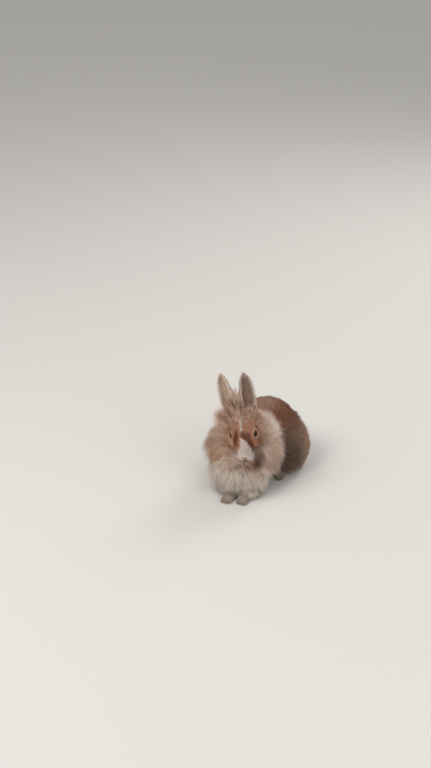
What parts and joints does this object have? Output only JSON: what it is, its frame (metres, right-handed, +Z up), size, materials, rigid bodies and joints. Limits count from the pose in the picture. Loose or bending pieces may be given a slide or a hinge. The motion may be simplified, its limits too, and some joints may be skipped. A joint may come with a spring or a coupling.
{
  "type": "lionhead rabbit",
  "caption": "Life-size still model of a sitting lionhead rabbit with upright ears, a woolly mane and bib, round haunches and a tucked tail.",
  "frame": {"origin": "on the floor, under the middle of the rabbit's bounding box", "axes": "+Z up; the body lies along Y with the chest towards -Y, so that the rabbit's left side is +X; the head is turned about 15 degrees to its left"},
  "size_m": [0.1508, 0.2428, 0.2157],
  "materials": {
    "face_fur": "short ginger-tan fur with a white blaze and whisker pads",
    "ear_fur": "short beige fur, pinkish grey inside the cup, pale woolly rims",
    "mane_wool": "long soft cream and light grey wool",
    "bib_wool": "long soft greyish white wool",
    "saddle_fur": "dense tan-brown fur shading to grey-brown",
    "haunch_fur": "dense grey-brown fur, longer along the lower flank",
    "foot_fur": "short pale fur",
    "eye": "wet dark brown, glossy"
  },
  "bodies": {
    "root": {"head": "face_fur", "eye_left": "eye", "eye_right": "eye", "ear_left": "ear_fur", "ear_right": "ear_fur", "neck_mane": "mane_wool", "chest_bib": "bib_wool", "torso": "saddle_fur", "thigh_left": "haunch_fur", "thigh_right": "haunch_fur", "hind_foot_left": "foot_fur", "hind_foot_right": "foot_fur", "foreleg_left": "foot_fur", "foreleg_right": "foot_fur", "tail": "haunch_fur"}
  },
  "joints": []
}
